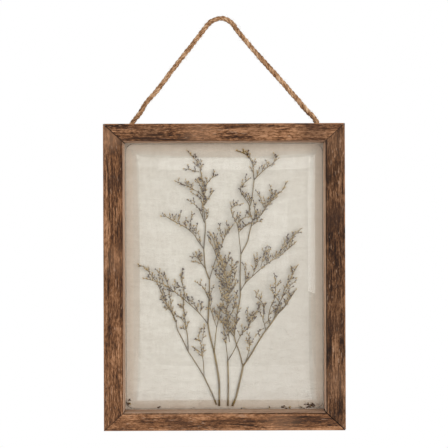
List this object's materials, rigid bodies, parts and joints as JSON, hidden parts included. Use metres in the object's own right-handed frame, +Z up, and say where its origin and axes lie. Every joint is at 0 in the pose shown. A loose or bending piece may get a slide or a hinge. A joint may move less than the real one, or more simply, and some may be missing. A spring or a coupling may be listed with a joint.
{
  "type": "pressed flower frame",
  "caption": "Upright wooden frame with domed glass over pressed dried flower sprigs on a pale sheet, hung by a twisted rope loop through its top rail.",
  "frame": {"origin": "underside of the rope's top, where the nail or hook bears, in the plane of the rope", "axes": "+Z up, +X to the right seen from the front, -Y out of the front through the glass, +Y towards the wall"},
  "size_m": [0.3, 0.039, 0.5226],
  "materials": {
    "wood": "matt weathered brown wood",
    "glass": "clear domed glass",
    "mount_paper": "fibrous warm off-white paper",
    "board": "plain brown backing board",
    "steel": "flat steel tabs",
    "rope": "twisted jute",
    "dried_stem": "dry olive-brown stems",
    "dried_flowers": "dry papery taupe florets"
  },
  "bodies": {
    "root": {"back_board": "board", "centre_flowers_lower": "dried_flowers", "centre_flowers_upper": "dried_flowers", "domed_glass": "glass", "hanging_rope": "rope", "knot_left": "rope", "knot_right": "rope", "mount_sheet": "mount_paper", "point_bottom": "steel", "point_lower_left": "steel", "point_lower_right": "steel", "point_top": "steel", "point_upper_left": "steel", "point_upper_right": "steel", "rail_bottom": "wood", "rail_left": "wood", "rail_right": "wood", "rail_top": "wood", "sprig_a_left_flowers": "dried_flowers", "sprig_a_low_flowers": "dried_flowers", "sprig_a_stem": "dried_stem", "sprig_a_top_flowers": "dried_flowers", "sprig_a_upper_stem": "dried_stem", "sprig_b_high_stem": "dried_stem", "sprig_b_inner_flowers": "dried_flowers", "sprig_b_left_flowers": "dried_flowers", "sprig_b_long_flowers": "dried_flowers", "sprig_b_lower_side_flowers": "dried_flowers", "sprig_b_middle_stem": "dried_stem", "sprig_b_short_flowers": "dried_flowers", "sprig_b_side_flowers": "dried_flowers", "sprig_b_stem": "dried_stem", "sprig_b_top_flowers": "dried_flowers", "sprig_b_upper_side_flowers": "dried_flowers", "sprig_b_upper_stem": "dried_stem", "sprig_c_flowers": "dried_flowers", "sprig_c_stem": "dried_stem", "sprig_d_left_flowers": "dried_flowers", "sprig_d_right_flowers": "dried_flowers", "sprig_d_stem": "dried_stem", "sprig_e_inner_flowers": "dried_flowers", "sprig_e_left_flowers": "dried_flowers", "sprig_e_left_stem": "dried_stem", "sprig_e_low_flowers": "dried_flowers", "sprig_e_middle_flowers": "dried_flowers", "sprig_e_right_stem": "dried_stem", "sprig_e_stem": "dried_stem", "sprig_e_tip_flowers": "dried_flowers", "sprig_e_upper_flowers": "dried_flowers", "sprig_f_high_stem": "dried_stem", "sprig_f_inner_flowers": "dried_flowers", "sprig_f_left_flowers": "dried_flowers", "sprig_f_mid_right_flowers": "dried_flowers", "sprig_f_middle_stem": "dried_stem", "sprig_f_right_flowers": "dried_flowers", "sprig_f_side_flowers": "dried_flowers", "sprig_f_stem": "dried_stem", "sprig_f_top_flowers": "dried_flowers", "sprig_f_top_right_flowers": "dried_flowers", "sprig_f_upper_stem": "dried_stem"}
  },
  "joints": []
}
